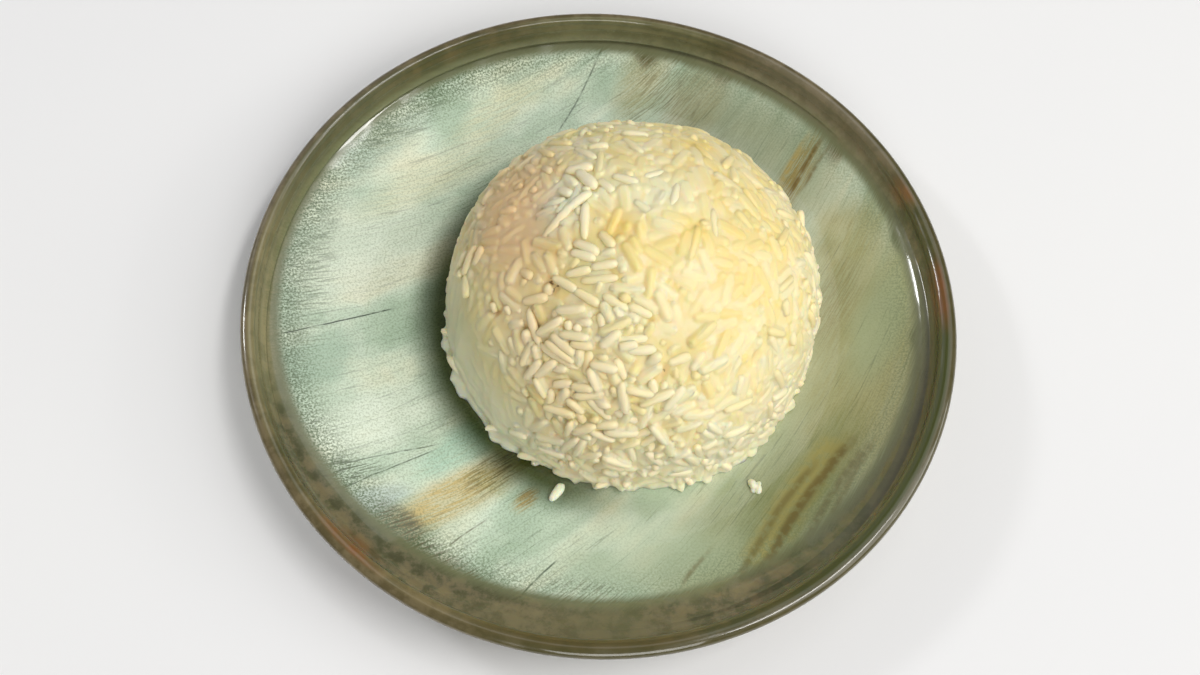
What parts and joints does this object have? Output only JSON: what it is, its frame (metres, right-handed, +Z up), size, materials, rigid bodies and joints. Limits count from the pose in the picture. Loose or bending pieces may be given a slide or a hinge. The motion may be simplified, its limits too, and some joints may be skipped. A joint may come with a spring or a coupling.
{
  "type": "plate of white rice",
  "caption": "Tall round dome of boiled white rice turned out of a bowl onto a glazed coupe plate, with stray grains beside it.",
  "frame": {"origin": "on the table, under the middle of the plate", "axes": "+Z up, +X to the right and +Y away from the side that the picture was taken from"},
  "size_m": [0.2048, 0.2048, 0.0713],
  "materials": {
    "glaze": "glossy streaked reactive glaze on stoneware, mint and cream to olive and brown",
    "rice": "moist boiled rice, cream and slightly translucent"
  },
  "bodies": {
    "root": {"plate": "glaze", "rice": "rice", "stray_grain": "rice", "stray_clump": "rice"}
  },
  "joints": []
}
